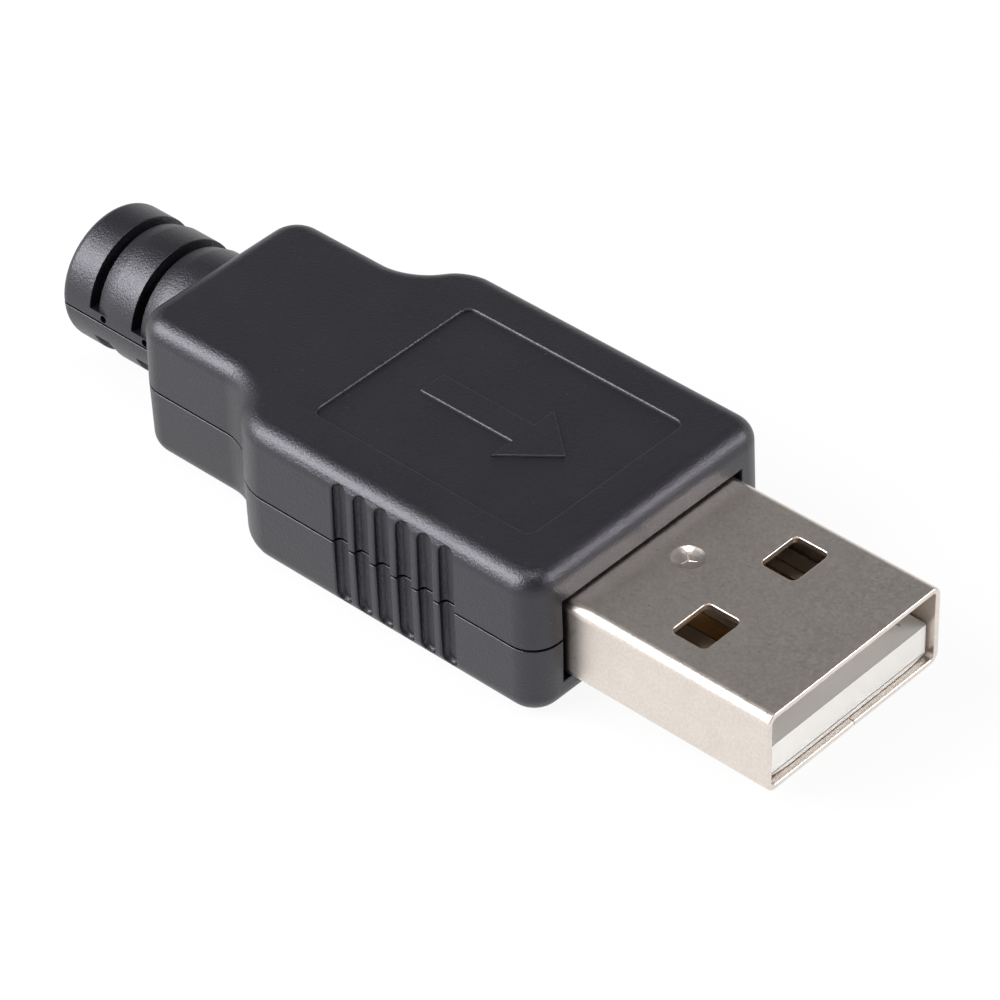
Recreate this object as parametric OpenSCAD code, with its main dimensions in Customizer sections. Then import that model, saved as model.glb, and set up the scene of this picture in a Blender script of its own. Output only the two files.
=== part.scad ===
// USB-A cable plug: two snap-together covers round a folded metal shell,
// a moulded contact carrier and four contact strips.
// +X points out of the plug's tip, +Z is up, and the covers rest on Z = 0.

/* [Metal shell] */
// Outside width of the folded shell
shell_w = 12; // [11.6:0.1:12.6]
// Outside height of the folded shell
shell_h = 4.5; // [4.3:0.1:4.8]
// Length of shell that stands out of the covers
shell_out = 11.85; // [11:0.05:13]
// Length of shell held inside the covers
shell_in = 7; // [6.5:0.1:8]
// Thickness of the steel sheet
sheet_t = 0.3; // [0.25:0.05:0.35]
// Outside radius of the sheet's bends
bend_r = 0.55; // [0.45:0.05:0.7]
// Tip to the near edge of the windows
window_back = 5.1; // [4.6:0.1:5.4]
// Length of a window along the plug
window_l = 2; // [1.6:0.1:2.2]
// Width of a window across the plug
window_w = 2.55; // [2:0.05:2.8]
// Distance between the centres of a pair of windows
window_pitch = 6.15; // [5.6:0.05:6.4]
// Corner radius of the windows
window_r = 0.3; // [0.1:0.05:0.5]
// Tip to the centre of the locking dimple
dimple_back = 9.8; // [9.6:0.1:10.2]
// Diameter of the locking dimple
dimple_d = 1.6; // [1:0.1:1.8]
// Depth of the locking dimple
dimple_depth = 0.14; // [0.08:0.02:0.2]
// Width of the joint where the folded sheet meets itself
fold_gap = 0.08; // [0.04:0.02:0.12]
// Reach of the retaining ears at the shell's rear
ear_reach = 0.7; // [0.4:0.1:0.7]
// Height of the retaining ears
ear_h = 2.4; // [1.5:0.1:3]
// Width of the strip that carries the cable crimp
strip_w = 4; // [3:0.1:4.4]
// Length of the strip between shell and crimp
strip_l = 5.4; // [4:0.1:6]
// Length of the cable crimp along the plug
crimp_l = 3; // [2:0.1:3.4]
// Inside radius of the cable crimp
crimp_r = 1.9; // [1.5:0.1:2]
// Height of the crimp's ears above its floor
crimp_h = 4.3; // [3.4:0.1:4.4]

/* [Covers] */
// Width of the covers at the body
body_w = 16.2; // [15.6:0.1:18]
// Height of the two covers together
body_h = 8.1; // [7.9:0.1:10]
// Straight length of the body, from its front face
body_l = 17.4; // [17:0.1:20]
// Width of the neck
neck_w = 11.3; // [10.6:0.1:12]
// Straight length of the neck
neck_l = 6.25; // [5.4:0.05:8]
// Radius of the body's shoulder
shoulder_r = 2.6; // [2:0.1:3]
// Radius of the fillet between shoulder and neck
neck_fillet_r = 3; // [2:0.1:4]
// Steepest angle of the shoulder
shoulder_angle = 51; // [45:1:60]
// Corner radius at the front, seen from above
front_r = 1.5; // [1.3:0.1:2]
// Corner radius at the neck's rear, seen from above
rear_r = 1.65; // [1.3:0.05:2.2]
// Rounding of the top and bottom edges
edge_r = 1.05; // [0.5:0.05:1.2]
// Mould draft of the side walls, in degrees
draft = 1; // [0:0.5:2]
// Wall thickness of the covers
wall = 1.2; // [0.9:0.1:1.4]
// Bevel along both edges of the parting line
seam_bevel = 0.08; // [0.04:0.02:0.12]
// Shell centre below the parting plane
shell_drop = 0.2; // [0:0.05:0.3]
// Clearance between the shell and the covers
fit_gap = 0.12; // [0.05:0.01:0.2]

/* [Top panel] */
// Length of the recessed panel
panel_l = 13.6; // [10:0.1:13.8]
// Width of the recessed panel
panel_w = 10.6; // [8:0.1:12]
// Front face to the panel's front edge
panel_front = 2.8; // [2:0.1:3.4]
// Depth of the panel
panel_depth = 0.15; // [0.1:0.01:0.25]
// Corner radius of the panel
panel_r = 0.5; // [0.2:0.1:1.5]
// Length of the raised insertion arrow
arrow_l = 8.4; // [5:0.1:9]
// Width of the arrow's head
arrow_w = 4.4; // [3:0.1:6]
// Height of the arrow above the panel's floor
arrow_h = 0.12; // [0.06:0.01:0.14]

/* [Finger grip] */
// Grooves on each side
grip_count = 6; // [3:1:8]
// Distance from groove to groove
grip_pitch = 1.34; // [1.2:0.02:1.5]
// Width of a groove
grip_w = 0.92; // [0.6:0.02:1]
// Depth of a groove
grip_depth = 0.42; // [0.2:0.02:0.5]
// Front face to the middle of the grip
grip_back = 8.85; // [8.4:0.05:9.4]
// Cover material above the grooves' round ends
grip_margin = 0.55; // [0.4:0.05:1]

/* [Boot] */
// Length of the ringed boot
boot_l = 7.35; // [7:0.05:10]
// Outside diameter of the boot
boot_d = 7.2; // [6.6:0.1:7.6]
// Diameter of the cable hole
cable_d = 4.4; // [3.6:0.1:4.6]
// Rounding of the boot's end
boot_end_r = 0.5; // [0.2:0.1:0.8]
// Boot end to the first slot
slot_first = 2.1; // [1.6:0.1:2.4]
// Distance from slot to slot
slot_pitch = 2.9; // [2.5:0.1:3.2]
// Slots along the boot
slot_count = 2; // [1:1:2]
// Width of a slot
slot_w = 0.42; // [0.3:0.02:0.6]
// Length of the cone in front of a slot
flare_l = 0.85; // [0.5:0.05:1.1]
// Depth of the cone at the slot
flare_depth = 0.45; // [0.2:0.05:0.6]
// Upper slots start this many degrees above the seam
slot_start_top = 9; // [5:1:15]
// Lower slots start this many degrees below the seam
slot_start_low = 19; // [10:1:25]
// Arc over which a slot opens into the cable hole
slot_window = 36; // [20:1:45]

/* [Contact carrier] */
// Tip to the front of the tongue
tongue_back = 0.35; // [0.2:0.05:0.6]
// Thickness of the tongue
tongue_t = 1.85; // [1.7:0.05:1.95]
// Tip to the front of the full-height rear block
block_back = 8.9; // [8.5:0.1:9.1]
// Rear block's set-back inside the shell's rear edge
block_inset = 0.6; // [0.3:0.1:1]
// Clearance between the carrier and the shell's walls
carrier_gap = 0.05; // [0.02:0.01:0.1]
// Chamfer on the tongue's front edges
tongue_chamfer = 0.4; // [0.2:0.05:0.5]

/* [Contacts] */
// Width of a contact
contact_w = 1; // [0.8:0.05:1.2]
// Thickness of a contact
contact_t = 0.25; // [0.2:0.05:0.35]
// Offset of the two inner contacts from the middle
data_offset = 1; // [0.9:0.05:1.1]
// Offset of the two outer contacts from the middle
power_offset = 3.5; // [3.3:0.05:3.6]
// Tip to the front of the outer contacts
power_back = 1.3; // [1:0.1:1.6]
// Tip to the front of the inner contacts
data_back = 2.2; // [1.9:0.1:2.6]
// Length of the solder tails behind the carrier
solder_l = 2.6; // [2:0.1:3]
// Width of the solder tails
solder_w = 1.3; // [1:0.05:1.5]

/* [Hidden] */
$fn = 48;
over = 1;            // how far a cutter runs past what it cuts

// shoulder: two arcs joined by a straight flank
step = (body_w - neck_w) / 2;
arcs_r = shoulder_r + neck_fillet_r;
flank_a = min(shoulder_angle, acos(1 - step / arcs_r));
flank_l = (step - arcs_r * (1 - cos(flank_a))) / tan(flank_a);
shoulder_l = arcs_r * sin(flank_a) + flank_l;

// stations along the plug
total_l = shell_out + body_l + shoulder_l + neck_l + boot_l;
x_tip = total_l / 2;
x_face = x_tip - shell_out;
x_shoulder = x_face - body_l;
x_neck = x_shoulder - shoulder_l;
x_rear = x_neck - neck_l;
x_end = x_rear - boot_l;
x_shell_rear = x_face - shell_in;
x_block_rear = x_shell_rear + block_inset;
x_crimp = x_shell_rear - strip_l;

// heights
half_h = body_h / 2;
z_part = half_h;
z_shell = z_part - shell_drop;
z_floor = z_shell - shell_h / 2 + sheet_t;
z_tongue = z_floor + carrier_gap + tongue_t;

// inside of the folded shell
in_w = shell_w - 2 * sheet_t;
in_h = shell_h - 2 * sheet_t;
in_r = bend_r - sheet_t;

// rounding of the covers' edges, kept inside the corner radii
arc_n = 6;
edge_n = 5;
corner_min = 0.15;
level_past = 1.25;   // the last level's reach past the rounding's end, as a share of its step
edge_over = (level_past - 1) * cos(90 - 90 / edge_n);
corner_flat = 0.01;  // straight left between two round corners
edge_e = min(edge_r, (min(front_r, rear_r) - half_h * tan(draft) - corner_min) / (1 + edge_over));
edge_start = half_h - edge_e;

// ribs, hooks and pegs inside the covers
rib_t = 1;
rib_gap = 0.1;
saddle_gap = 0.2;    // cable saddles are this much tighter than the cable hole
hook_l = 1.6;
hook_t = 0.7;
hook_h = 1.5;
hook_root = 1.3;
barb_h = 0.5;
barb_out = 0.25;
hook_gap = 0.06;
peg_d = 1;
peg_h = 1.1;
peg_gap = 0.06;
boss_d = 2.1;
window_step = 3;     // degrees from a slot's end to its opening
window_inset = 0.15; // how far an opening is set in at each side, as a share of the slot's width
pin_mark_d = 0.4;
pin_mark_depth = 0.3;
pin_mark_ahead = 0.55;
pin_mark_below = 4;  // degrees below the slots' lower ends

// where the hooks and the pegs stand
hook_stations = [x_shell_rear - 3.4 * rib_t, x_shoulder + 1.5 * hook_l];
x_peg = x_face - wall - 1.5 * rib_t;
y_peg = (shell_w / 2 + fit_gap + body_w / 2) / 2;

// bent front of a contact
nose_l = 0.35;
nose_drop = 0.9;

cover_colour = "#2a292d";
shell_colour = "#c8c0b4";
carrier_colour = "#efece6";
contact_colour = "#d9b45b";

// ---------- shared shapes ----------

// points on an arc about (cx, cy), from angle a0 to a1
function arc(cx, cy, r, a0, a1) =
    [for (i = [0:arc_n]) let (a = a0 + (a1 - a0) * i / arc_n) [cx + r * cos(a), cy + r * sin(a)]];

// one side of the covers' plan outline, moved inwards by d
function side_line(d) =
    let (fr = max(front_r, d + corner_min), rr = max(rear_r, d + corner_min))
    concat(
        arc(x_face - fr, body_w / 2 - fr, fr - d, 0, 90),
        arc(x_shoulder, body_w / 2 - shoulder_r, shoulder_r - d, 90, 90 + flank_a),
        arc(x_neck, neck_w / 2 + neck_fillet_r, neck_fillet_r + d, flank_a - 90, -90),
        arc(x_rear + rr, neck_w / 2 - rr, rr - d, 90, 180)
    );

// the whole plan outline, moved inwards by d
function outline(d) =
    let (s = side_line(d), n = len(s))
    concat(s, [for (i = [n - 1:-1:0]) [s[i][0], -s[i][1]]]);

// height above the parting plane and inward offset at an angle round the edge's rounding
function edge_level(a) = [edge_start + edge_e * sin(a), edge_start * tan(draft) + edge_e * (1 - cos(a))];

// the same for each level of a cover; the first and the last lie just past its flat faces
function cover_levels() =
    let (near_top = edge_level(90 - 90 / edge_n), top = edge_level(90))
    concat(
        [[-seam_bevel, 2 * seam_bevel], [seam_bevel, 0], [edge_start, edge_start * tan(draft)]],
        [for (i = [1:edge_n - 1]) edge_level(90 * i / edge_n)],
        [near_top + level_past * (top - near_top)]
    );

// half of the body and neck, solid
module cover_form() {
    intersection() {
        level_solid();
        block([x_end, -body_w, 0], [x_tip, body_w, half_h]);
    }
}

// closed solid through the plan outline at each level
module level_solid() {
    levels = cover_levels();
    n = len(outline(0));
    top = (len(levels) - 1) * n;
    polyhedron(
        points = [for (lv = levels) for (p = outline(lv[1])) [p[0], p[1], lv[0]]],
        faces = concat(
            [[for (i = [0:n - 1]) i]],
            [[for (i = [n - 1:-1:0]) top + i]],
            [for (k = [0:len(levels) - 2]) for (i = [0:n - 1])
                let (j = (i + 1) % n, a = k * n, b = a + n)
                [a + i, b + i, b + j, a + j]]
        )
    );
}

// box from its low corner to its high corner
module block(low, high) {
    translate(low) cube(high - low);
}

// flat rectangle with round corners, centred
module round_rect(w, h, r) {
    square([w - 2 * r, h], center = true);
    square([w, h - 2 * r], center = true);
    for (sx = [-1, 1]) for (sy = [-1, 1]) translate([sx * (w / 2 - r), sy * (h / 2 - r)]) circle(r);
}

// turns a flat shape's X, Y into the part's Y, Z, with its thickness along +X
module along_x(x) {
    translate([x, 0, 0]) rotate([90, 0, 90]) children();
}

// bar of round rectangular section about the shell's centre line
module shell_bar(x0, x1, w, h, r) {
    translate([0, 0, z_shell]) along_x(x0) linear_extrude(x1 - x0) round_rect(w, h, r);
}

// ring about the boot's axis, from a profile in radius and distance along +X
module ring_cut(x, start, sweep, profile) {
    along_x(x) rotate([0, 0, start]) rotate_extrude(angle = sweep) polygon(profile);
}

// ---------- covers, worked on with the parting plane at Z = 0 ----------

// half of the ringed boot, solid
module boot_half() {
    r = boot_d / 2;
    intersection() {
        along_x(x_end) rotate_extrude() {
            translate([0, boot_end_r]) square([r, boot_l + wall / 2 - boot_end_r]);
            square([r - boot_end_r, boot_l]);
            translate([r - boot_end_r, boot_end_r]) circle(boot_end_r);
        }
        block([x_end - over, -boot_d, 0], [x_rear + wall, boot_d, boot_d]);
    }
}

// grooves round half of the boot, starting a given angle above the seam
module boot_slots(start) {
    r = boot_d / 2;
    bottom_r = (r + cable_d / 2) / 2;
    for (k = [0:slot_count - 1]) {
        x = x_end + slot_first + k * slot_pitch;
        ring_cut(x, start, 180 - 2 * start, [
            [bottom_r, 0],
            [r + flare_depth, 0],
            [r + flare_depth, slot_w + 2 * flare_l],
            [r - flare_depth, slot_w],
            [bottom_r, slot_w],
        ]);
        // the deeper openings at both sides, a little narrower than the slot
        for (a = [start + window_step, 180 - start - window_step - slot_window])
            ring_cut(x, a, slot_window, [
                [cable_d / 2 - over, slot_w * window_inset],
                [r, slot_w * window_inset],
                [r, slot_w * (1 - window_inset)],
                [cable_d / 2 - over, slot_w * (1 - window_inset)],
            ]);
    }
}

// small round core marks just ahead of the lower ends of the slots
module pin_marks(angle) {
    for (k = [0:slot_count - 1]) for (a = [angle, 180 - angle])
        translate([x_end + slot_first + k * slot_pitch + slot_w + pin_mark_ahead, 0, 0])
            rotate([a - 90, 0, 0])
                translate([0, 0, boot_d / 2 - pin_mark_depth])
                    cylinder(h = over, d = pin_mark_d, $fn = 16);
}

// open bevel along the boot's seam
module boot_seam() {
    for (s = [-1, 1])
        translate([x_end - over, s * boot_d / 2, 0]) rotate([45, 0, 0])
            block([0, -seam_bevel, -seam_bevel], [boot_l + wall + over, seam_bevel, seam_bevel]);
}

// half of the boot with its slots and seam; the upper one has the core marks
module boot(start, marks) {
    difference() {
        boot_half();
        boot_slots(start);
        boot_seam();
        if (marks) pin_marks(start - pin_mark_below);
    }
}

// vertical grooves of the finger grip, with round ends
module grip_cut() {
    reach = 2 * (half_h - grip_margin);
    for (k = [0:grip_count - 1]) for (s = [-1, 1])
        translate([x_face - grip_back + (k - (grip_count - 1) / 2) * grip_pitch, s * body_w / 2, 0])
            rotate([90, 0, 0]) linear_extrude(2 * grip_depth, center = true)
                round_rect(grip_w, reach, grip_w / 2 - corner_flat);
}

// walls left standing across a cover's hollow
module ribs() {
    // rib behind the front wall, the pair on both sides of the shell's ears, and the cable saddles
    stations = [
        x_face - wall - 2 * rib_t,
        x_shell_rear + sheet_t + rib_gap,
        x_shell_rear - rib_gap - rib_t,
        x_neck - rib_t,
        x_neck - 3 * rib_t,
    ];
    for (x = stations) block([x, -body_w, -over], [x + rib_t, body_w, half_h]);
    for (s = [-1, 1]) translate([x_peg, s * y_peg, -over]) cylinder(h = half_h + over, d = boss_d);
}

// hollow of a cover, with the ribs left in
module hollow() {
    difference() {
        translate([0, 0, -over]) linear_extrude(half_h - wall + over) polygon(outline(wall));
        ribs();
    }
}

// space for the shell, its ears, the wires and the cable
module inner_space() {
    translate([0, 0, -z_part]) {
        // the shell, with square corners at the mouth
        shell_space(x_shell_rear - rib_gap, x_face + over, shell_w + 2 * fit_gap, shell_h + 2 * fit_gap);
        // the ears
        shell_space(x_shell_rear - rib_gap, x_shell_rear + sheet_t + rib_gap,
            shell_w + 2 * (ear_reach + fit_gap), ear_h + 2 * fit_gap);
        // the wires and the crimp's strip, through the ribs behind the shell
        shell_space(x_neck, x_shell_rear, 2 * (power_offset + solder_w), shell_h + fit_gap);
    }
    saddle_d = cable_d - saddle_gap;
    along_x(x_rear) cylinder(h = x_neck - x_rear + over, d = saddle_d);
    along_x(x_end - over) cylinder(h = boot_l + wall + over, d = cable_d);
}

// box about the shell's centre line
module shell_space(x0, x1, w, h) {
    block([x0, -w / 2, z_shell - h / 2], [x1, w / 2, z_shell + h / 2]);
}

// wedge of a snap barb, lying against the inside of the wall at side s
module barb(x, s, grow) {
    y = body_w / 2 - wall - hook_gap;
    translate([x, 0, hook_h]) rotate([90, 0, 90])
        translate([0, 0, -grow]) linear_extrude(hook_l + 2 * grow)
            polygon([
                [s * (y - hook_t / 2), -barb_h - grow],
                [s * (y + barb_out + grow), -barb_h - grow],
                [s * (y + grow), grow],
                [s * (y - hook_t / 2), grow],
            ]);
}

// one snap hook, rooted in the lower cover and reaching into the upper one
module hook(x, s) {
    y = body_w / 2 - wall - hook_gap;
    outer = s * y;
    inner = s * (y - hook_t);
    root = s * (y + 2 * hook_gap);
    block([x, min(outer, inner), -hook_root], [x + hook_l, max(outer, inner), hook_h]);
    block([x, min(root, inner), -hook_root], [x + hook_l, max(root, inner), -hook_gap]);
    barb(x, s, 0);
}

// what both covers share; start is where the boot's slots begin
module cover_half(start, marks) {
    difference() {
        union() {
            cover_form();
            boot(start, marks);
        }
        hollow();
        grip_cut();
    }
}

// raised block arrow that points to the tip
module arrow() {
    head = arrow_w * 0.6;
    shaft = arrow_w * 0.36;
    linear_extrude(arrow_h) polygon([
        [arrow_l / 2, 0],
        [arrow_l / 2 - head, arrow_w / 2],
        [arrow_l / 2 - head, shaft / 2],
        [-arrow_l / 2, shaft / 2],
        [-arrow_l / 2, -shaft / 2],
        [arrow_l / 2 - head, -shaft / 2],
        [arrow_l / 2 - head, -arrow_w / 2],
    ]);
}

module upper_cover() {
    color(cover_colour) translate([0, 0, z_part]) {
        difference() {
            cover_half(slot_start_top, true);
            inner_space();
            translate([x_face - panel_front - panel_l / 2, 0, half_h - panel_depth])
                linear_extrude(over) round_rect(panel_l, panel_w, panel_r);
            for (x = hook_stations) for (s = [-1, 1]) barb(x, s, hook_gap);
            for (s = [-1, 1]) translate([x_peg, s * y_peg, -over])
                cylinder(h = peg_h + 2 * peg_gap + over, d = peg_d + 2 * peg_gap);
        }
        translate([x_face - panel_front - panel_l / 2, 0, half_h - panel_depth]) arrow();
    }
}

module lower_cover() {
    color(cover_colour) translate([0, 0, z_part]) {
        difference() {
            mirror([0, 0, 1]) cover_half(slot_start_low, false);
            inner_space();
        }
        for (x = hook_stations) for (s = [-1, 1]) hook(x, s);
        for (s = [-1, 1]) translate([x_peg, s * y_peg, -over]) cylinder(h = over + peg_h, d = peg_d);
    }
}

// ---------- metal shell ----------

// pair of windows through one wall of the shell
module windows(z) {
    for (s = [-1, 1])
        translate([x_tip - window_back - window_l / 2, s * window_pitch / 2, z - sheet_t])
            linear_extrude(2 * sheet_t) round_rect(window_l, window_w, window_r);
}

// gap between the two edges of the folded sheet, with one dovetail
module fold_line() {
    dove_x = x_tip - shell_out * 0.55;
    dove_l = 2.4;
    dove_w = 0.9;
    splay = 0.3;
    g = fold_gap / 2;
    // edge of the sheet that carries the dovetail, then the edge that holds it
    tail = [
        [x_tip + over, -g], [dove_x + dove_l / 2 - splay - g, -g],
        [dove_x + dove_l / 2 - g, dove_w - g], [dove_x - dove_l / 2 + g, dove_w - g],
        [dove_x - dove_l / 2 + splay + g, -g], [x_shell_rear - over, -g],
    ];
    socket = [
        [x_shell_rear - over, g], [dove_x - dove_l / 2 + splay - g, g],
        [dove_x - dove_l / 2 - g, dove_w + g], [dove_x + dove_l / 2 + g, dove_w + g],
        [dove_x + dove_l / 2 - splay + g, g], [x_tip + over, g],
    ];
    translate([0, 0, z_shell - shell_h / 2 - over / 2]) linear_extrude(over) polygon(concat(tail, socket));
}

// open U of the cable crimp
module crimp() {
    z = z_shell - shell_h / 2;
    outer = crimp_r + sheet_t;
    translate([0, 0, z + outer]) along_x(x_crimp - crimp_l) linear_extrude(crimp_l)
        difference() {
            union() {
                circle(outer);
                translate([-outer, 0]) square([2 * outer, crimp_h - outer]);
            }
            circle(crimp_r);
            translate([-crimp_r, 0]) square([2 * crimp_r, crimp_h]);
        }
}

module plug_shell() {
    z_low = z_shell - shell_h / 2;
    z_top = z_shell + shell_h / 2;
    color(shell_colour) {
        difference() {
            union() {
                shell_bar(x_shell_rear, x_tip, shell_w, shell_h, bend_r);
                // retaining ears, turned out of the side walls
                shell_space(x_shell_rear, x_shell_rear + sheet_t, shell_w + 2 * ear_reach, ear_h);
            }
            difference() {
                shell_bar(x_shell_rear - over, x_tip + over, in_w, in_h, in_r);
                // underside of the dimple
                translate([x_tip - dimple_back, 0, z_top - sheet_t - dimple_depth])
                    cylinder(h = over, d = dimple_d);
            }
            windows(z_top);
            windows(z_low);
            fold_line();
            translate([x_tip - dimple_back, 0, z_top - dimple_depth])
                cylinder(h = over, d1 = dimple_d - 2 * sheet_t, d2 = dimple_d - 2 * sheet_t + 2 * over);
        }
        // strip and crimp behind the shell
        block([x_crimp - over / 2, -strip_w / 2, z_low], [x_shell_rear + sheet_t, strip_w / 2, z_low + sheet_t]);
        crimp();
    }
}

// ---------- carrier and contacts ----------

// room for a contact in the carrier
module contact_space(y, back) {
    w = contact_w + 2 * carrier_gap;
    x1 = x_tip - back + carrier_gap;
    block([x_shell_rear - over, y - w / 2, z_tongue - contact_t], [x1, y + w / 2, z_tongue + carrier_gap]);
    block([x1 - nose_l, y - w / 2, z_tongue - nose_drop - carrier_gap], [x1, y + w / 2, z_tongue]);
}

// one contact: blade, nose bent down at its front, and solder tail
module contact(y, back) {
    x1 = x_tip - back;
    w = contact_w;
    low = z_tongue - contact_t;
    color(contact_colour) {
        block([x_block_rear - over / 2, y - w / 2, low], [x1, y + w / 2, z_tongue]);
        block([x1 - contact_t, y - w / 2, z_tongue - nose_drop], [x1, y + w / 2, z_tongue]);
        block([x_block_rear - solder_l, y - solder_w / 2, low], [x_block_rear - carrier_gap, y + solder_w / 2, z_tongue]);
    }
}

module contact_carrier() {
    w = in_w - 2 * carrier_gap;
    h = in_h - 2 * carrier_gap;
    x_front = x_tip - tongue_back;
    x_block = x_tip - block_back;
    c = tongue_chamfer;
    color(carrier_colour) difference() {
        union() {
            // tongue: the lower part of the shell's inside section
            intersection() {
                shell_bar(x_block, x_front, w, h, in_r);
                block([x_block, -w, z_floor], [x_front, w, z_tongue]);
            }
            shell_bar(x_block_rear, x_block, w, h, in_r);
        }
        // bevels along the tongue's front top edge and its front corners
        translate([x_front, 0, z_tongue]) rotate([0, 45, 0])
            block([-c / 2, -w, -c / 2], [c / 2, w, c / 2]);
        for (s = [-1, 1]) translate([x_front, s * w / 2, 0]) rotate([0, 0, 45])
            block([-c / 2, -c / 2, 0], [c / 2, c / 2, body_h]);
        for (s = [-1, 1]) translate([0, s * w / 2, z_tongue]) rotate([45, 0, 0])
            block([x_block, -c / 2, -c / 2], [x_front + over, c / 2, c / 2]);
        for (s = [-1, 1]) contact_space(s * power_offset, power_back);
        for (s = [-1, 1]) contact_space(s * data_offset, data_back);
        // pocket for the shell's dimple
        translate([x_tip - dimple_back, 0, z_shell + in_h / 2 - dimple_depth - 2 * carrier_gap])
            cylinder(h = over, d = dimple_d + 4 * carrier_gap);
    }
}

module contact_power() { contact(-power_offset, power_back); }
module contact_data_minus() { contact(-data_offset, data_back); }
module contact_data_plus() { contact(data_offset, data_back); }
module contact_ground() { contact(power_offset, power_back); }

upper_cover();
lower_cover();
plug_shell();
contact_carrier();
contact_power();
contact_data_minus();
contact_data_plus();
contact_ground();
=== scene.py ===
# %% [markdown]
# # A cable-end USB-A plug
# The real plug is a folded metal shell round a white contact carrier, held between
# two black snap-together covers that end in a ringed boot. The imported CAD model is
# loaded first as a fixed frame, and every piece below is modelled in its place.

# %% Load the frame
import math
import bmesh
import bpy
from mathutils import Matrix, Vector


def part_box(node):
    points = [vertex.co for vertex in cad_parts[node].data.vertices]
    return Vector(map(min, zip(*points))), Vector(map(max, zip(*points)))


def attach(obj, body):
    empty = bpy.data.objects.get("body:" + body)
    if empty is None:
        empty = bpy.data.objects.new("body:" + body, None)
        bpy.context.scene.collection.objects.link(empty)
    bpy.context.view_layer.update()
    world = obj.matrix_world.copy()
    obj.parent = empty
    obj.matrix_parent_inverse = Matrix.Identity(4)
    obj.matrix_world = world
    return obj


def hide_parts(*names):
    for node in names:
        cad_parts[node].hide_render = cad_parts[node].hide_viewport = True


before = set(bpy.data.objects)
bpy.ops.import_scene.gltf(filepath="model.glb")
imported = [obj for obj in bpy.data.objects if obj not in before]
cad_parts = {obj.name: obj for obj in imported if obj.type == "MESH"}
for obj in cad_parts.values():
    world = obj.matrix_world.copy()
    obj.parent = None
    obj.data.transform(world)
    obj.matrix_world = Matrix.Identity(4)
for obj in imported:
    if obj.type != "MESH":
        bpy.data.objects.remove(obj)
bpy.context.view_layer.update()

print("CAD nodes:", sorted(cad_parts))

# %% [markdown]
# The plug is only a few centimetres long, and many of Blender's tools treat anything
# closer than a tenth of a millimetre, written in metres, as one point. So each piece is
# modelled with one unit for a millimetre, and is scaled to metres when it is finished.
# The stations along the plug come from the boxes of the CAD nodes.

# %% Stations in millimetres
MM = 0.001
cover_low, cover_high = (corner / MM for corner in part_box("upper_cover"))
shell_low, shell_high = (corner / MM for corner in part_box("plug_shell"))
x_end, x_face, x_tip = cover_low.x, cover_high.x, shell_high.x
half_h = cover_high.z / 2
body_w = cover_high.y * 2
body_l, shoulder_l, neck_l, shell_in = 17.4, 4.655, 6.25, 7
x_shoulder = x_face - body_l
x_neck = x_shoulder - shoulder_l
x_rear = x_neck - neck_l
x_shell_rear = x_face - shell_in
shell_w, shell_h, sheet_t = 12.0, 4.5, 0.3
shell_drop = 0.2  # the shell sits this far below the middle of the covers
z_shell = half_h - shell_drop
z_top, z_low = z_shell + shell_h / 2, z_shell - shell_h / 2
print(f"tip {x_tip:.2f}, face {x_face:.2f}, neck ends {x_rear:.2f}, boot ends {x_end:.2f}")

# %% [markdown]
# An operator works on whatever is selected, so a few helpers select one object, open and
# close edit mode, and choose faces or edges by a test on their place.

# %% Selection helpers
near = 1e-3  # two places closer than this are the same


def pick(*objs):
    """Selects these objects alone; the first is the active one."""
    bpy.ops.object.select_all(action="DESELECT")
    for obj in objs:
        obj.select_set(True)
    bpy.context.view_layer.objects.active = objs[0]


def choose(kind, test):
    """In edit mode, selects the verts, edges or faces that pass a test."""
    bpy.ops.mesh.select_mode(type=kind)
    bpy.ops.mesh.select_all(action="DESELECT")
    data = bpy.context.edit_object.data
    mesh = bmesh.from_edit_mesh(data)
    items = {"VERT": mesh.verts, "EDGE": mesh.edges, "FACE": mesh.faces}[kind]
    found = [item for item in items if test(item)]
    for item in found:
        item.select_set(True)
    mesh.select_flush_mode()
    bmesh.update_edit_mesh(data)
    return len(found)


def edit(obj):
    """Opens an object in edit mode with all of it selected."""
    pick(obj)
    bpy.ops.object.mode_set(mode="EDIT")
    bpy.ops.mesh.select_all(action="SELECT")


def done():
    """Leaves edit mode."""
    bpy.ops.object.mode_set(mode="OBJECT")
    return bpy.context.object


def middle(edge):
    return (edge.verts[0].co + edge.verts[1].co) / 2


def upright(edge):
    a, b = (v.co for v in edge.verts)
    return abs(a.x - b.x) < near and abs(a.y - b.y) < near


def round_off(width, segments):
    """Rounds the chosen edges."""
    bpy.ops.mesh.bevel(offset=width, segments=segments, profile=0.5, clamp_overlap=False)


# %% [markdown]
# Most pieces start as a box or a rod and are then cut by other boxes and rods. On the
# covers all cuts come before the rims are rounded, because a rounded rim that a later cut
# crosses tends to leave the mesh open.

# %% Box and boolean helpers
def add_box(low, high):
    """A box from its low corner to its high corner."""
    low, high = Vector(low), Vector(high)
    bpy.ops.mesh.primitive_cube_add(size=1, location=(low + high) / 2, scale=high - low)
    bpy.ops.object.transform_apply(location=True, rotation=True, scale=True)
    return bpy.context.object


def add_rod(x0, x1, radius, z=0.0, sides=96):
    """A cylinder along the plug."""
    bpy.ops.mesh.primitive_cylinder_add(
        vertices=sides, radius=radius, depth=x1 - x0,
        location=((x0 + x1) / 2, 0, z), rotation=(0, math.pi / 2, 0))
    bpy.ops.object.transform_apply(location=True, rotation=True, scale=True)
    return bpy.context.object


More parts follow.
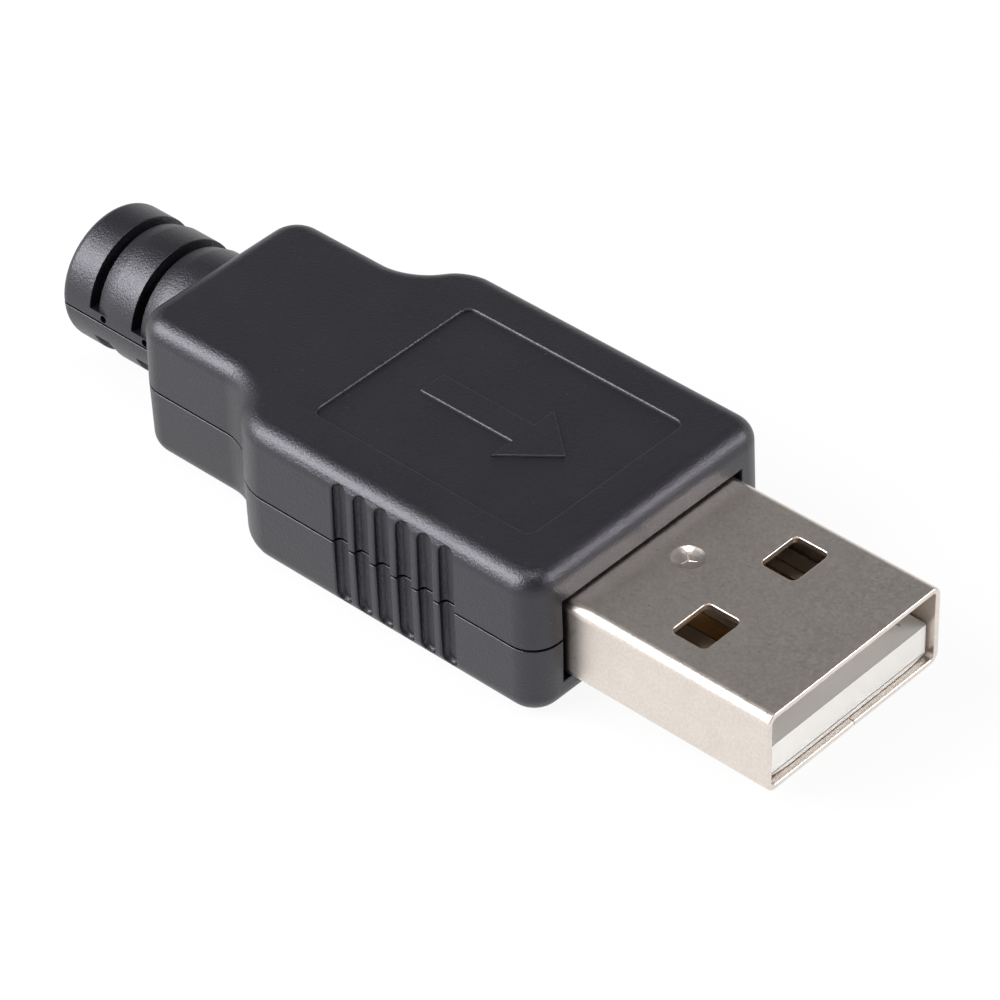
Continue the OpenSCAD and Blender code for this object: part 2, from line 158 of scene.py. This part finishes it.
def combine(obj, tool, operation="DIFFERENCE"):
    """Cuts with the tool or joins it, and removes the tool."""
    modifier = obj.modifiers.new("combine", "BOOLEAN")
    modifier.object, modifier.operation, modifier.solver = tool, operation, "EXACT"
    pick(obj)
    bpy.ops.object.modifier_apply(modifier=modifier.name)
    bpy.data.objects.remove(tool)


def soften(obj, where, width, segments=2, sharp=35):
    """Rounds the sharp edges whose middles pass the test."""
    edit(obj)
    limit = math.radians(sharp)
    count = choose("EDGE", lambda e: len(e.link_faces) == 2
                   and e.calc_face_angle(0) > limit and where(middle(e)))
    if count:
        round_off(width, segments)
    done()


# %% [markdown]
# ## Covers
# Both covers have the same outline: a straight body, an S-shaped shoulder and a narrower
# neck. It could be drawn as a curve, but a box shows the idea better: its rear face is
# pulled out twice, and the upright edges are then rounded with their real radii. An edge
# that turns by an angle a gets a radius r when it is bevelled by r * tan(a / 2).

# %% Outline of a cover
turn = math.radians(51)
lean = math.tan(turn / 2)
face_r, shoulder_r, fillet_r, rear_r = 1.5, 2.6, 3.0, 1.65
neck_half_w = 5.65


def cover_block(inset, low, high, radii):
    """Body, shoulder and neck in one block, set in from the outside."""
    slide = inset * lean
    x0 = x_shoulder - shoulder_r * lean + slide
    x1 = x_neck + fillet_r * lean + slide
    wide, slim = body_w / 2 - inset, neck_half_w - inset
    block = add_box((x0, -wide, low), (x_face - inset, wide, high))
    edit(block)
    choose("FACE", lambda f: f.normal.x < -0.9)
    bpy.ops.mesh.extrude_region_move(TRANSFORM_OT_translate={"value": (x1 - x0, 0, 0)})
    bpy.ops.transform.resize(value=(1, slim / wide, 1))
    to_rear = x_rear + inset - x1
    bpy.ops.mesh.extrude_region_move(TRANSFORM_OT_translate={"value": (to_rear, 0, 0)})
    # the two pulls leave flat edges behind, which would be rounded too
    bpy.ops.mesh.select_all(action="SELECT")
    bpy.ops.mesh.dissolve_limited(angle_limit=0.01)
    places = (x_face - inset, x0, x1, x_rear + inset)
    for x, radius, share in zip(places, radii, (1, lean, lean, 1)):
        choose("EDGE", lambda e: upright(e) and abs(middle(e).x - x) < near)
        round_off(radius * share, 10)
    return done()


def round_top(block, high, draft, width):
    """Leans the walls in and rounds the edge of the top face."""
    half_l, half_w = 14, 8  # of a cover, about
    edit(block)
    choose("VERT", lambda v: v.co.z > high - near)
    bpy.ops.transform.resize(value=(1 - draft / half_l, 1 - draft / half_w, 1))
    choose("EDGE", lambda e: min(v.co.z for v in e.verts) > high - near)
    round_off(width, 8)
    return done()


# %% [markdown]
# The boot is a tube of three rings with two slots between them. A slot starts some degrees
# above the parting line and passes over the top, and in front of it the ring is cut to a
# shallow cone. One flat profile of slot and cone is spun about the plug's axis to make a
# cutter, which is what a lathe would do.

# %% Ring cutter
boot_r, cable_r = 3.6, 2.2
slot_first, slot_pitch, slot_w = 2.1, 2.9, 0.42
slot_places = [x_end + slot_first + k * slot_pitch for k in range(2)]


def spun(profile, x, start, sweep, steps):
    """A ring cutter from (radius, distance) points, spun about the plug's axis."""
    bpy.ops.mesh.primitive_circle_add(vertices=len(profile), radius=1, fill_type="NGON")
    ring = bpy.context.object
    a = math.radians(start)
    for vert, (r, along) in zip(ring.data.vertices, profile):
        vert.co = (x + along, r * math.cos(a), r * math.sin(a))
    edit(ring)
    bpy.ops.mesh.spin(
        steps=steps, angle=math.radians(-sweep), center=(0, 0, 0), axis=(1, 0, 0))
    bpy.ops.mesh.select_all(action="SELECT")
    bpy.ops.mesh.remove_doubles(threshold=1e-4)
    bpy.ops.mesh.normals_make_consistent(inside=False)
    return done()


# %% [markdown]
# The floor of each slot opens into the cable hole on both sides, and the upper half of the
# boot also has a small round mark of a mould pin by the end of each slot.

# %% Boot
def pin_mark(x, angle):
    """A thin cylinder that points at the plug's axis."""
    spin = Matrix.Rotation(math.radians(angle - 90), 4, "X")
    bpy.ops.mesh.primitive_cylinder_add(
        vertices=20, radius=0.2, depth=0.9, location=spin @ Vector((x, 0, boot_r + 0.1)),
        rotation=(math.radians(angle - 90), 0, 0))
    return bpy.context.object


def boot_half(start, marks):
    """Half of the boot, with its rings."""
    boot = add_rod(x_end, x_rear + 0.8, boot_r, sides=128)
    edit(boot)
    choose("EDGE", lambda e: max(v.co.x for v in e.verts) < x_end + near)
    round_off(0.5, 6)
    bpy.ops.mesh.select_all(action="SELECT")
    bpy.ops.mesh.bisect(
        plane_co=(0, 0, -0.6), plane_no=(0, 0, 1), use_fill=True, clear_inner=True)
    done()
    combine(boot, add_rod(x_end - 1, x_rear + 1.2, cable_r, sides=48))
    outside, slot_floor, cone_depth = 4.0, 2.85, 0.21
    slot = [(slot_floor, 0), (outside, 0), (outside, slot_w + 0.85 * slot_pitch),
            (boot_r - cone_depth, slot_w), (slot_floor, slot_w)]
    inset, step, sweep = 0.05, 3, 36
    opening = [(1.5, inset), (3.2, inset), (3.2, slot_w - inset), (1.5, slot_w - inset)]
    for x in slot_places:
        combine(boot, spun(slot, x, start, 180 - 2 * start, 40))
        for side in (start + step, 180 - start - step - sweep):
            combine(boot, spun(opening, x, side, sweep, 9))
    if marks:
        for x in slot_places:
            for angle in (start - 4, 180 - start + 4):
                combine(boot, pin_mark(x + 0.95, angle))
    return boot


# %% [markdown]
# On each side of the body six grooves give the fingers a grip. One cutter is a box with
# round ends and a round floor; it is copied along the side, each copy with its own mesh.

# %% Grip grooves
x_grip = x_face - 8.85
groove_count, groove_pitch = 6, 1.34


def grip_cutters():
    """The grooves of both sides, as one cutter."""
    half_w, depth, reach = 0.46, 0.42, half_h - 0.55
    tool = add_box((-half_w, -depth, -reach), (half_w, depth, reach))
    edit(tool)
    choose("EDGE", lambda e: abs(e.verts[0].co.y - e.verts[1].co.y) > 0.1)
    round_off(0.44, 6)
    choose("EDGE", lambda e: len(e.link_faces) == 2 and e.calc_face_angle(0) > 0.9)
    round_off(0.2, 3)
    done()
    tools = []
    for side in (-1, 1):
        for k in range(groove_count):
            copy = tool.copy()
            copy.data = tool.data.copy()
            shift = (k - (groove_count - 1) / 2) * groove_pitch
            copy.location = (x_grip + shift, side * body_w / 2, 0)
            bpy.context.collection.objects.link(copy)
            tools.append(copy)
    bpy.data.objects.remove(tool)
    pick(*tools)
    bpy.ops.object.join()
    bpy.ops.object.transform_apply(location=True, rotation=True, scale=True)
    return bpy.context.object


# %% [markdown]
# A cover is the outer block, cut by the grooves, joined to its half of the boot and then
# hollowed. Ribs stay in the hollow to hold the shell and to clamp the cable, and the last
# cuts make room in them for both. The block and the cutters all reach past the parting
# plane, so no two faces lie in it while the cuts are made.

# %% Cover
wall, rib_t = 1.2, 1


def cover(start, upper):
    """One whole cover, before it is cut at its parting plane."""
    outer = (face_r, shoulder_r, fillet_r, rear_r)
    inner = (face_r - wall, shoulder_r - wall, fillet_r + wall, rear_r - wall)
    shell = round_top(cover_block(0, -0.4, half_h, outer), half_h, 0.07, 1.05)
    combine(shell, grip_cutters())
    combine(shell, boot_half(start, upper), "UNION")
    hollow = cover_block(wall, -1, half_h - wall, inner)
    for x in (x_face - 3.2, x_shell_rear + 0.4, x_shell_rear - 1.1, x_neck - 1, x_neck - 3):
        combine(hollow, add_box((x, -9, -2), (x + rib_t, 9, 5)))
    combine(shell, hollow)
    # room for the shell, its strip and crimp, and its ears
    x_pocket = x_shell_rear - 0.1
    drop = -shell_drop if upper else shell_drop
    top = shell_h / 2 + (0.15 if upper else 0.1)
    combine(shell, add_box((x_pocket, -6.2, -3), (x_face + 1, 6.2, top + drop)))
    combine(shell, add_box((x_neck, -4.8, -3), (x_shell_rear + 0.1, 4.8, top - 0.2)))
    combine(shell, add_box((x_pocket, -6.85, -3), (x_shell_rear + 0.4, 6.85, 1.3)))
    # the cable's hole through the rear wall, and its saddles
    combine(shell, add_rod(x_rear - 0.25, x_rear + 1.25, 2.24, sides=60))
    combine(shell, add_rod(x_rear + 1.0, x_neck + 1, 2.1, sides=44))
    return shell


# %% [markdown]
# The top cover carries a shallow recessed panel. On this plain version a raised block
# arrow in it shows which way the plug goes in. The arrow's shaft is a box, and its head is
# pulled out of the front face: widened at once, then drawn to a point.

# %% Panel and arrow
panel_l, panel_w, panel_depth = 13.6, 10.6, 0.15
x_panel = x_face - 2.8 - panel_l / 2


def add_panel(shell):
    """Sinks the panel into a cover and joins the arrow to it."""
    panel = add_box((x_panel - panel_l / 2, -panel_w / 2, half_h - panel_depth),
                    (x_panel + panel_l / 2, panel_w / 2, half_h + 1))
    edit(panel)
    choose("EDGE", upright)
    round_off(0.5, 5)
    done()
    combine(shell, panel)
    shaft_half_w, head_half_w, head_l = 0.8, 2.2, 2.64
    arrow = add_box((x_panel - 4.2, -shaft_half_w, half_h - 0.3),
                    (x_panel + 1.56, shaft_half_w, half_h - 0.03))
    edit(arrow)
    choose("FACE", lambda f: f.normal.x > 0.9)
    bpy.ops.mesh.extrude_region_move(TRANSFORM_OT_translate={"value": (0.001, 0, 0)})
    bpy.ops.transform.resize(value=(1, head_half_w / shaft_half_w, 1))
    bpy.ops.mesh.extrude_region_move(TRANSFORM_OT_translate={"value": (head_l, 0, 0)})
    bpy.ops.transform.resize(value=(1, 0.02, 1))
    done()
    combine(shell, arrow, "UNION")
    return shell


# %% [markdown]
# The cover is cut flat just short of the parting plane, so the joint between the two covers
# shows as a thin dark line. Then its rims are rounded, one kind after another: the grooves,
# the slots' rims, the boot's end, the mouth for the shell, the panel, the arrow, and last
# the parting line.

# %% Parting line and rims
half_gap = 0.06


def trim(shell):
    """Cuts a cover at its parting plane and rounds its rims."""
    edit(shell)
    bpy.ops.mesh.bisect(
        plane_co=(0, 0, half_gap), plane_no=(0, 0, 1), use_fill=True, clear_inner=True)
    done()
    slot_rims = [x + side for x in slot_places for side in (0, slot_w)]

    def above(m):
        return m.z > half_gap + near

    def on_groove(m):
        return above(m) and abs(m.y) > body_w / 2 - 0.36 and abs(m.x - x_grip) < 4

    def on_slot(m):
        at_rim = min(abs(m.x - x) for x in slot_rims) < 0.02
        return above(m) and at_rim and m.yz.length > 3.2

    def on_panel_top(m):
        return m.z > half_h - 0.08 and abs(m.y) < 5.4 and m.x > x_shoulder

    def on_arrow(m):
        return abs(m.y) < 3 and abs(m.x - x_panel) < 5

    soften(shell, on_groove, 0.1, 3, 30)
    soften(shell, on_slot, 0.05, 2, 25)
    soften(shell, lambda m: above(m) and m.x < x_end + 0.01, 0.15, 3)
    soften(shell, lambda m: above(m) and m.x > x_face - 0.1 and abs(m.y) < 6.3, 0.08, 2)
    soften(shell, lambda m: on_panel_top(m) and not on_arrow(m), 0.11, 3)
    soften(shell, lambda m: on_panel_top(m) and on_arrow(m), 0.1, 3)
    soften(shell, lambda m: not above(m), 0.02, 1)
    return shell


# %% [markdown]
# Every piece ends in the same way: smooth shading with its sharp edges kept, a change from
# millimetres to metres, its finish, and the name of the CAD solid that it stands for.

# %% Finished piece
def settle(obj, name, finish, node):
    """Smooth shading, metres, name, finish, and the CAD node it stands for."""
    pick(obj)
    bpy.ops.object.shade_smooth_by_angle(angle=math.radians(38))
    weights = obj.modifiers.new("even", "WEIGHTED_NORMAL")
    weights.keep_sharp = True
    bpy.ops.object.modifier_apply(modifier=weights.name)
    obj.scale = (MM, MM, MM)
    bpy.ops.object.transform_apply(location=True, rotation=True, scale=True)
    obj.name = obj.data.name = name
    obj.data.materials.clear()
    obj.data.materials.append(finish)
    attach(obj, "root")
    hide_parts(node)
    print(name, len(obj.data.polygons), "faces")


# %% [markdown]
# ## Finishes
# A finish is a small network of nodes. Written as plain sums it stays readable, so one
# class wraps a socket and turns +, * and > into Math nodes.

# %% Shader maths
class Wire:
    """A socket that can be used in sums."""

    def __init__(self, finish, socket):
        self.finish, self.socket = finish, socket

    def _sum(self, operation, a, b):
        return self.finish.node("ShaderNodeMath", {"operation": operation}, {0: a, 1: b})

    def __add__(self, other):
        return self._sum("ADD", self, other)

    def __radd__(self, other):
        return self._sum("ADD", other, self)

    def __mul__(self, other):
        return self._sum("MULTIPLY", self, other)

    def __rmul__(self, other):
        return self._sum("MULTIPLY", other, self)

    def __gt__(self, other):
        return self._sum("GREATER_THAN", self, other)


# %% [markdown]
# The second class adds the nodes. Inputs are given by name or by number, and each is
# either a wire, which is linked, or a plain value, which is set on the socket.

# %% Nodes of a finish
class Finish:
    """A material or world under construction."""

    def __init__(self, owner):
        owner.use_nodes = True
        self.owner, self.tree = owner, owner.node_tree
        self.tree.nodes.clear()

    def node(self, kind, settings=None, inputs=None, out=0):
        """Adds one node: its settings first, then its sockets' values or links."""
        node = self.tree.nodes.new(kind)
        for key, value in (settings or {}).items():
            if key == "stops":
                ramp = node.color_ramp.elements
                while len(ramp) < len(value):
                    ramp.new(0.5)
                for stop, (place, colour) in zip(ramp, value):
                    stop.position, stop.color = place, colour
            else:
                setattr(node, key, value)
        for key, value in (inputs or {}).items():
            if isinstance(value, Wire):
                self.tree.links.new(value.socket, node.inputs[key])
            else:
                node.inputs[key].default_value = value
        return Wire(self, node.outputs[out]) if node.outputs else node

    def mix(self, factor, a, b):
        """Mixes two colours."""
        return self.node("ShaderNodeMix", {"data_type": "RGBA"}, {0: factor, 6: a, 7: b}, 2)

    def place(self):
        """The point in the object's own coordinates, in metres."""
        return self.node("ShaderNodeTexCoord", out=3)

    def noise(self, scale, detail, rough=0.5):
        """Soft random values round a half; scale is in waves to the metre."""
        return self.node("ShaderNodeTexNoise", {}, {
            "Vector": self.place(), "Scale": scale, "Detail": detail, "Roughness": rough})

    def bump(self, height, distance, strength=1.0):
        """A bent normal; distance is the height of the relief in metres."""
        return self.node("ShaderNodeBump", {}, {
            "Strength": strength, "Distance": distance, "Height": height})

    def surface(self, **inputs):
        """Ends the network in one Principled shader, and gives the material."""
        inputs = {key.replace("_", " "): value for key, value in inputs.items()}
        shader = self.node("ShaderNodeBsdfPrincipled", {}, inputs)
        self.node("ShaderNodeOutputMaterial", {}, {0: shader})
        return self.owner


def new_finish(name):
    return Finish(bpy.data.materials.new(name))


def grey(value):
    return (value, value, value, 1)


# %% [markdown]
# The covers are moulded in black plastic against a spark-eroded steel mould, which leaves
# a very fine matte grain. It is fine noise in a Bump node, with a little dust in the colour.
# The plastic's reflections are slightly violet.

# %% Black cover plastic
def cover_plastic():
    f = new_finish("cover_plastic")
    grain = f.noise(8000, 3, rough=0.6)
    cloud = f.noise(260, 3)
    dust = f.noise(5200, 1) > 0.765
    shade = cloud * 0.5 + grain * 0.5
    base = f.mix(shade, (0.002, 0.0018, 0.003, 1), (0.007, 0.0064, 0.0095, 1))
    base = f.mix(dust * 0.3, base, (0.10, 0.10, 0.11, 1))
    return f.surface(
        Base_Color=base, Roughness=0.33 + 0.09 * cloud, Normal=f.bump(grain, 0.000028),
        Specular_IOR_Level=0.78, Specular_Tint=(0.93, 0.90, 1.0, 1))


# %% [markdown]
# The nickel on the shell is warm and slightly dull. Its colour and its roughness change a
# little from spot to spot, as on sheet that has been rolled, plated and tumbled.

# %% Nickel-plated steel
def plated_steel():
    f = new_finish("shell_steel")
    grain = f.noise(9500, 3, rough=0.65)
    cloud = f.noise(700, 3)
    mottle = f.noise(6000, 2, rough=0.6)
    shade = cloud * 0.3 + mottle * 0.7
    base = f.mix(shade, (0.58, 0.515, 0.465, 1), (0.96, 0.885, 0.82, 1))
    return f.surface(
        Base_Color=base, Metallic=1.0, Roughness=0.24 + 0.14 * mottle,
        Normal=f.bump(grain, 0.0000045))


# %% [markdown]
# The carrier is white at the mouth. Some way inside it is painted brown as shade, which isn't
# the plastic's own colour: this painted shade only makes the inside look dark through the
# windows.

# %% White carrier plastic
def carrier_plastic():
    f = new_finish("carrier_plastic")
    cloud = f.noise(900, 3)
    white_base = f.mix(cloud, (0.80, 0.775, 0.74, 1), (0.86, 0.84, 0.815, 1))
    along = f.node("ShaderNodeSeparateXYZ", {}, {0: f.place()})
    # the brown mixed in behind the mouth is painted shade, so the inside looks dark through the
    # windows
    x_white, x_brown = (x_tip - 3.4) * MM, (x_tip - 4.8) * MM
    painted_shade_mix = f.node("ShaderNodeMapRange", {}, {0: along, 1: x_white, 2: x_brown})
    base = f.mix(painted_shade_mix, white_base, (0.26, 0.20, 0.15, 1))
    return f.surface(
        Base_Color=base, Roughness=0.34 + 0.1 * cloud,
        Normal=f.bump(f.noise(6000, 2), 0.000006, strength=0.6))


# %% [markdown]
# The contacts are thinly plated with gold over nickel. The gold is darkened as painted shade,
# for the same reason as the carrier's brown: so the contacts look dark through the windows.

# %% Gold-plated contact
def contact_gold():
    f = new_finish("contact_gold")
    wear = f.noise(1800, 4)
    # both golds are darker than plated gold: painted shade for the inside of the shell
    base = f.mix(wear, (0.50, 0.32, 0.13, 1), (0.66, 0.46, 0.22, 1))
    return f.surface(Base_Color=base, Metallic=1.0, Roughness=0.22 + 0.16 * wear)


black, steel, white, gold = cover_plastic(), plated_steel(), carrier_plastic(), contact_gold()
print("finishes ready")

# %% [markdown]
# ## The two covers
# Both are built as an upper cover about the plug's axis. The upper one is lifted to its
# height. The lower one is turned over by mirroring it, which also turns its faces inside
# out, so their normals are worked out again.

# %% Build the covers
upper = trim(add_panel(cover(9, True)))
edit(upper)
bpy.ops.transform.translate(value=(0, 0, half_h))
done()
settle(upper, "upper_cover_moulding", black, "upper_cover")

lower = trim(cover(19, False))
edit(lower)
bpy.ops.transform.resize(value=(1, 1, -1), center_override=(0, 0, 0))
bpy.ops.transform.translate(value=(0, 0, half_h))
bpy.ops.mesh.normals_make_consistent(inside=False)
done()
settle(lower, "lower_cover_moulding", black, "lower_cover")

# %% [markdown]
# ## Metal shell
# The shell is one strip of plated sheet, folded round until its edges meet underneath. It
# could be a flat sheet with a Solidify modifier, but the windows and their rims are
# cleaner when a rounded bar is hollowed and pierced, as on the frame.

# %% Folded tube
def bar(x0, x1, w, h, r, segments=8):
    """A bar along the plug with round long edges, about the shell's centre line."""
    rod = add_box((x0, -w / 2, z_shell - h / 2), (x1, w / 2, z_shell + h / 2))
    edit(rod)
    choose("EDGE", lambda e: abs(e.verts[0].co.x - e.verts[1].co.x) > 1)
    round_off(r, segments)
    return done()


bend_r, inner_bend_r = 0.55, 0.27
tube = bar(x_shell_rear, x_tip, shell_w, shell_h, bend_r)
combine(tube, bar(x_shell_rear - 1, x_tip + 1,
                  shell_w - 2 * sheet_t, shell_h - 2 * sheet_t, inner_bend_r))
print("tube:", len(tube.data.polygons), "faces")

# %% [markdown]
# Two windows go through the top and two through the underside. The receptacle's springs
# catch in them.

# %% Windows
window_rear, window_front, half_pitch, window_half_w = 7.1, 5.1, 3.075, 1.275
for z in (z_top, z_low):
    for y in (-half_pitch, half_pitch):
        window = add_box((x_tip - window_rear, y - window_half_w, z - 0.6),
                         (x_tip - window_front, y + window_half_w, z + 0.6))
        edit(window)
        choose("EDGE", upright)
        round_off(0.32, 5)
        done()
        combine(tube, window)
soften(tube, lambda m: x_tip - window_rear - 0.1 < m.x < x_tip - window_front + 0.1
       and m.z > z_top - 0.05, 0.06, 3, 60)
soften(tube, lambda m: m.x > x_tip - 0.05, 0.07, 3, 60)
print("tube with windows:", len(tube.data.polygons), "faces")

# %% [markdown]
# Behind the windows the punch has pressed a small round dimple, and its three-pronged tip
# has left a mark in it. A sphere sinks the dimple, and three thin wedges make the mark.

# %% Locking dimple
x_dimple = x_tip - 9.8
bowl_r, bowl_depth = 1.82, 0.2
bpy.ops.mesh.primitive_uv_sphere_add(
    segments=64, ring_count=48, radius=bowl_r,
    location=(x_dimple, 0, z_top + bowl_r - bowl_depth))
combine(tube, bpy.context.object)
soften(tube, lambda m: (m - Vector((x_dimple, 0, m.z))).length < 1 and m.z > z_top - 0.02,
       0.05, 3, 12)
prong_reach = 0.24
for k in range(3):
    a = math.radians(120 * k + 20)
    bpy.ops.mesh.primitive_cone_add(
        vertices=3, radius1=0.13, radius2=0.02, depth=0.5, rotation=(0, math.pi / 2, a),
        location=(x_dimple + prong_reach * math.cos(a), prong_reach * math.sin(a),
                  z_top - 0.155))
    combine(tube, bpy.context.object)
print("tube with dimple:", len(tube.data.polygons), "faces")

# %% [markdown]
# The seam of the fold runs along the underside. At the rear the sheet ends in two ears
# that lock into the covers, and in a strip with the crimp that grips the cable. The crimp
# is a trough: a rod and a box above it, both hollowed from the inside.

# %% Seam, ears, strip and crimp
half_seam = 0.04
combine(tube, add_box((x_shell_rear - 1, -half_seam, z_low - 0.1),
                      (x_tip + 1, half_seam, z_low + 0.5)))
for y in (-6.7, 5.9):
    ear = add_box((x_shell_rear, y, z_shell - 1.2), (x_shell_rear + 0.3, y + 0.8, z_shell + 1.2))
    combine(tube, ear, "UNION")
x_crimp = x_shell_rear - 5.4
crimp_l, crimp_r, crimp_in_r, crimp_h = 3, 2.2, 1.9, 4.3
z_crimp = z_low + crimp_r
combine(tube, add_box((x_crimp - 0.5, -2, z_low + 0.005),
                      (x_shell_rear + 0.29, 2, z_low + 0.295)), "UNION")
crimp = add_rod(x_crimp - crimp_l, x_crimp, crimp_r, z_crimp)
combine(crimp, add_box((x_crimp - crimp_l, -crimp_r, z_crimp),
                       (x_crimp, crimp_r, z_low + crimp_h)), "UNION")
combine(crimp, add_rod(x_crimp - crimp_l - 1, x_crimp + 1, crimp_in_r, z_crimp, sides=80))
combine(crimp, add_box((x_crimp - crimp_l - 1, -crimp_in_r, z_crimp),
                       (x_crimp + 1, crimp_in_r, z_low + 5)))
combine(tube, crimp, "UNION")
settle(tube, "folded_shell", steel, "plug_shell")

# %% [markdown]
# ## Contact carrier
# The white carrier fills the rear of the shell and reaches forward as a tongue in its
# lower half. The contact strips lie in channels in the tongue's top, which end short of
# its front, so the strips dive under a bridge of plastic there. A thin slot also runs
# along one side of the tongue's top.

# %% Carrier
carrier_w, carrier_h, carrier_r = 11.3, 3.8, 0.2
z_tongue = z_low + sheet_t + 0.05 + 1.85
x_front, x_block = x_tip - 0.35, x_tip - 8.9
x_block_rear = x_shell_rear + 0.6
tongue = bar(x_block - 0.5, x_front, carrier_w, carrier_h, carrier_r, 4)
combine(tongue, add_box((x_block - 1, -7, z_tongue), (x_tip, 7, z_tongue + 4)))


def at_front(m):
    return m.x > x_front - 0.01


def at_side(m):
    return abs(m.y) > 5.4


def at_top(m):
    return m.z > z_tongue - 0.01


soften(tongue, lambda m: at_front(m) and at_side(m), 0.28, 4, 60)
soften(tongue, lambda m: at_front(m) and at_top(m), 0.28, 4, 60)
soften(tongue, lambda m: m.x > x_block and at_side(m) and at_top(m), 0.12, 3, 60)
combine(tongue, bar(x_block_rear, x_block, carrier_w, carrier_h, carrier_r, 4), "UNION")
channel_half_w, strip_t = 0.55, 0.25
for y, start in ((-3.5, 2.0), (3.5, 2.0), (-1, 3.0), (1, 3.0)):
    combine(tongue, add_box((x_shell_rear, y - channel_half_w, z_tongue - strip_t),
                            (x_tip - start, y + channel_half_w, z_tongue + 0.05)))
combine(tongue, add_box((x_block, 4.62, z_tongue - 0.15), (x_front - 0.85, 4.72, z_tongue + 1)))
settle(tongue, "carrier_with_tongue", white, "contact_carrier")

# %% [markdown]
# ## Contacts
# Each contact is one stamped strip. A thin box is enough as a start: its sides are
# rounded by the punch, and its rear end widens to a tail for the solder. The two outer
# strips reach further forward, so that power connects before data.

# %% Contact strips
strip_half_w, tail_half_w = 0.5, 0.65
for node, y, start in (("contact_power", -3.5, 1.6), ("contact_data_minus", -1, 2.6),
                       ("contact_data_plus", 1, 2.6), ("contact_ground", 3.5, 1.6)):
    strip = add_box((x_block_rear - 0.5, y - strip_half_w, z_tongue - strip_t),
                    (x_tip - start, y + strip_half_w, z_tongue))
    tail = add_box((x_block_rear - 2.6, y - tail_half_w, z_tongue - strip_t + 0.001),
                   (x_block_rear - 0.05, y + tail_half_w, z_tongue - 0.001))
    combine(strip, tail, "UNION")
    soften(strip, lambda m: m.z > z_tongue - 0.02, 0.05, 2, 60)
    settle(strip, node + "_strip", gold, node)

# %% [markdown]
# ## Camera
# The camera stands in front of the plug and to its right, well above it, with a long lens.
# Its place and its lens were solved from the known width and height of the metal shell. It
# is rolled by nearly two degrees, so its axes are written out as a matrix.

# %% Camera
camera = bpy.data.objects.new("camera", bpy.data.cameras.new("camera"))
bpy.context.collection.objects.link(camera)
az, el, roll = (math.radians(a) for a in (43.72, 39.60, -1.84))
back = Vector((math.sin(az) * math.cos(el), -math.cos(az) * math.cos(el), math.sin(el)))
level = Vector((math.cos(az), math.sin(az), 0))
steep = back.cross(level)
right = level * math.cos(roll) + steep * math.sin(roll)
up = steep * math.cos(roll) - level * math.sin(roll)
spot = Vector((125.55, -128.913, 150.692)) * MM
camera.matrix_world = Matrix(((right.x, up.x, back.x, spot.x),
                              (right.y, up.y, back.y, spot.y),
                              (right.z, up.z, back.z, spot.z), (0, 0, 0, 1)))
camera.data.lens, camera.data.sensor_width = 177.68, 36
camera.data.clip_start, camera.data.clip_end = 0.01, 20
bpy.context.scene.camera = camera
bpy.context.scene.view_settings.view_transform = "Standard"
print(f"camera {spot.length:.3f} m from the plug's middle")

# %% [markdown]
# ## Studio
# The plug lies on white paper. Seen by the camera or in a reflection, the paper glows a
# clean white; for all other light it is plain matte paper, which keeps a faint shadow.

# %% Floor
bpy.ops.mesh.primitive_plane_add(size=6, location=(0, 0, -0.00002))
floor = bpy.context.object
floor.name = "floor"
f = new_finish("floor_white")
camera_ray = f.node("ShaderNodeLightPath")
glossy_ray = f.node("ShaderNodeLightPath", out=3)
seen = f.node("ShaderNodeMath", {"operation": "MAXIMUM"}, {0: camera_ray, 1: glossy_ray})
paper = f.node("ShaderNodeBsdfDiffuse", {}, {"Color": grey(0.8)})
glow = f.node("ShaderNodeEmission", {}, {"Color": grey(1.0), "Strength": 1.0})
blend = f.node("ShaderNodeMixShader", {}, {0: seen * 0.92, 1: paper, 2: glow})
f.node("ShaderNodeOutputMaterial", {}, {0: blend})
floor.data.materials.append(f.owner)
print("floor ready")

# %% [markdown]
# The sky is bright at the horizon and dark overhead. So the sides of the plug reflect
# white, while its flat top stays dark.

# %% Sky
world = bpy.data.worlds.new("studio")
bpy.context.scene.world = world
w = Finish(world)
camera_ray = w.node("ShaderNodeLightPath")
height = w.node("ShaderNodeSeparateXYZ", {}, {0: w.node("ShaderNodeTexCoord", out=0)}, 2)
stops = ((0.0, grey(0.95)), (0.2, grey(0.6)), (0.5, grey(0.2)), (1.0, grey(0.17)))
sky = w.node("ShaderNodeValToRGB", {"stops": stops}, {0: height})
light = w.node("ShaderNodeBackground", {}, {0: w.mix(camera_ray, sky, grey(1.0)), 1: 1.0})
w.node("ShaderNodeOutputWorld", {}, {0: light})
print("sky ready")

# %% [markdown]
# Three soft lamps draw the highlights. The left one makes the long band on the near top
# edges, the right one lights the far edges and the mouth, and the small one overhead is
# there for the dimple.

# %% Lamps
def softbox(name, towards, distance, width, height, power):
    """An area lamp that points at the plug."""
    towards = Vector(towards).normalized()
    data = bpy.data.lights.new(name, "AREA")
    data.shape, data.size, data.size_y, data.energy = "RECTANGLE", width, height, power
    lamp = bpy.data.objects.new(name, data)
    lamp.location = towards * distance
    lamp.rotation_euler = towards.to_track_quat("Z", "Y").to_euler()
    bpy.context.collection.objects.link(lamp)
    print(name, power, "W")


softbox("left_softbox", (-0.53, -0.64, 0.60), 0.6, 0.48, 0.42, 6.0)
softbox("right_softbox", (0.64, 0.56, 0.53), 0.7, 0.36, 0.22, 2.4)
softbox("top_softbox", (0.0, 0.0, 1.0), 0.8, 0.22, 0.22, 1.5)
